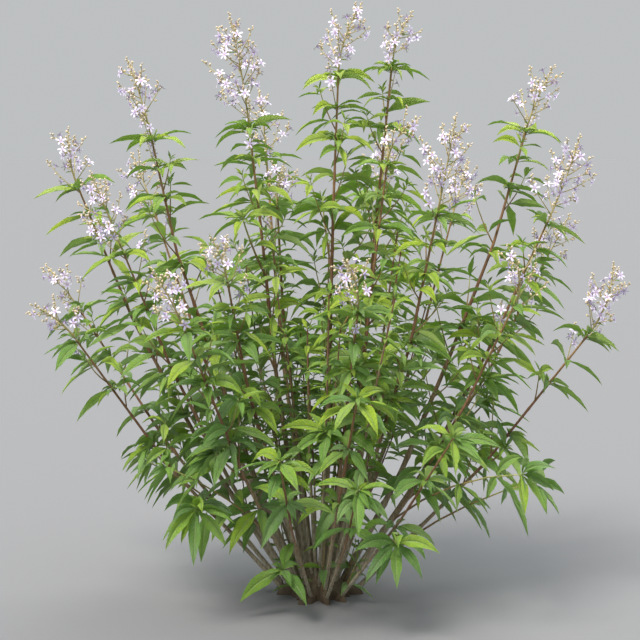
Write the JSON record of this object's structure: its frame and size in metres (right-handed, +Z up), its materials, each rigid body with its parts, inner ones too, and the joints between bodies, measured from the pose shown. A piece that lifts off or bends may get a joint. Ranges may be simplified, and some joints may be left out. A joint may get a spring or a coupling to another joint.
{
  "type": "lemon verbena bush",
  "caption": "Flowering lemon verbena bush: leafy stems fan out of a woody crown with a flat underside and end in loose sprays of small pale lilac flowers.",
  "frame": {"origin": "centre of the crown's flat underside, on the ground", "axes": "+Z up along the stems; the bush is widest along X and shallowest along Y; its front, with the low leafy shoots, faces -Y"},
  "size_m": [1.016, 0.7877, 1.0055],
  "materials": {
    "bark": "matte",
    "young_bark": "satin",
    "leaf": "satin",
    "flower_stalk": "satin",
    "petal": "matte",
    "bud": "matte"
  },
  "bodies": {
    "root": {"crown": "bark", "leafy_stem_01": "leaf", "leafy_stem_02": "leaf", "leafy_stem_03": "leaf", "leafy_stem_04": "leaf", "leafy_stem_05": "leaf", "leafy_stem_06": "leaf", "leafy_stem_07": "leaf", "leafy_stem_08": "leaf", "leafy_stem_09": "leaf", "leafy_stem_10": "leaf", "leafy_stem_11": "leaf", "leafy_stem_12": "leaf", "leafy_stem_13": "leaf", "leafy_stem_14": "leaf", "leafy_stem_15": "leaf", "leafy_stem_16": "leaf", "leafy_stem_17": "leaf", "leafy_stem_18": "leaf", "leafy_stem_19": "leaf", "leafy_stem_20": "leaf", "leafy_stem_21": "leaf", "leafy_stem_22": "leaf", "leafy_stem_23": "leaf", "leafy_stem_24": "leaf", "leafy_stem_25": "leaf", "leafy_stem_26": "leaf", "leafy_stem_27": "leaf", "leafy_stem_28": "leaf", "flower_spray_01": "petal", "flower_spray_02": "petal", "flower_spray_03": "petal", "flower_spray_04": "petal", "flower_spray_05": "petal", "flower_spray_06": "petal", "flower_spray_07": "petal", "flower_spray_08": "petal", "flower_spray_09": "petal", "flower_spray_10": "petal", "flower_spray_11": "petal", "flower_spray_12": "petal", "flower_spray_13": "petal", "flower_spray_14": "petal", "flower_spray_15": "petal", "flower_spray_16": "petal", "flower_spray_17": "petal", "flower_spray_18": "petal", "flower_spray_19": "petal", "flower_spray_20": "petal", "flower_spray_21": "petal", "flower_spray_22": "petal", "flower_spray_23": "petal"}
  },
  "joints": []
}
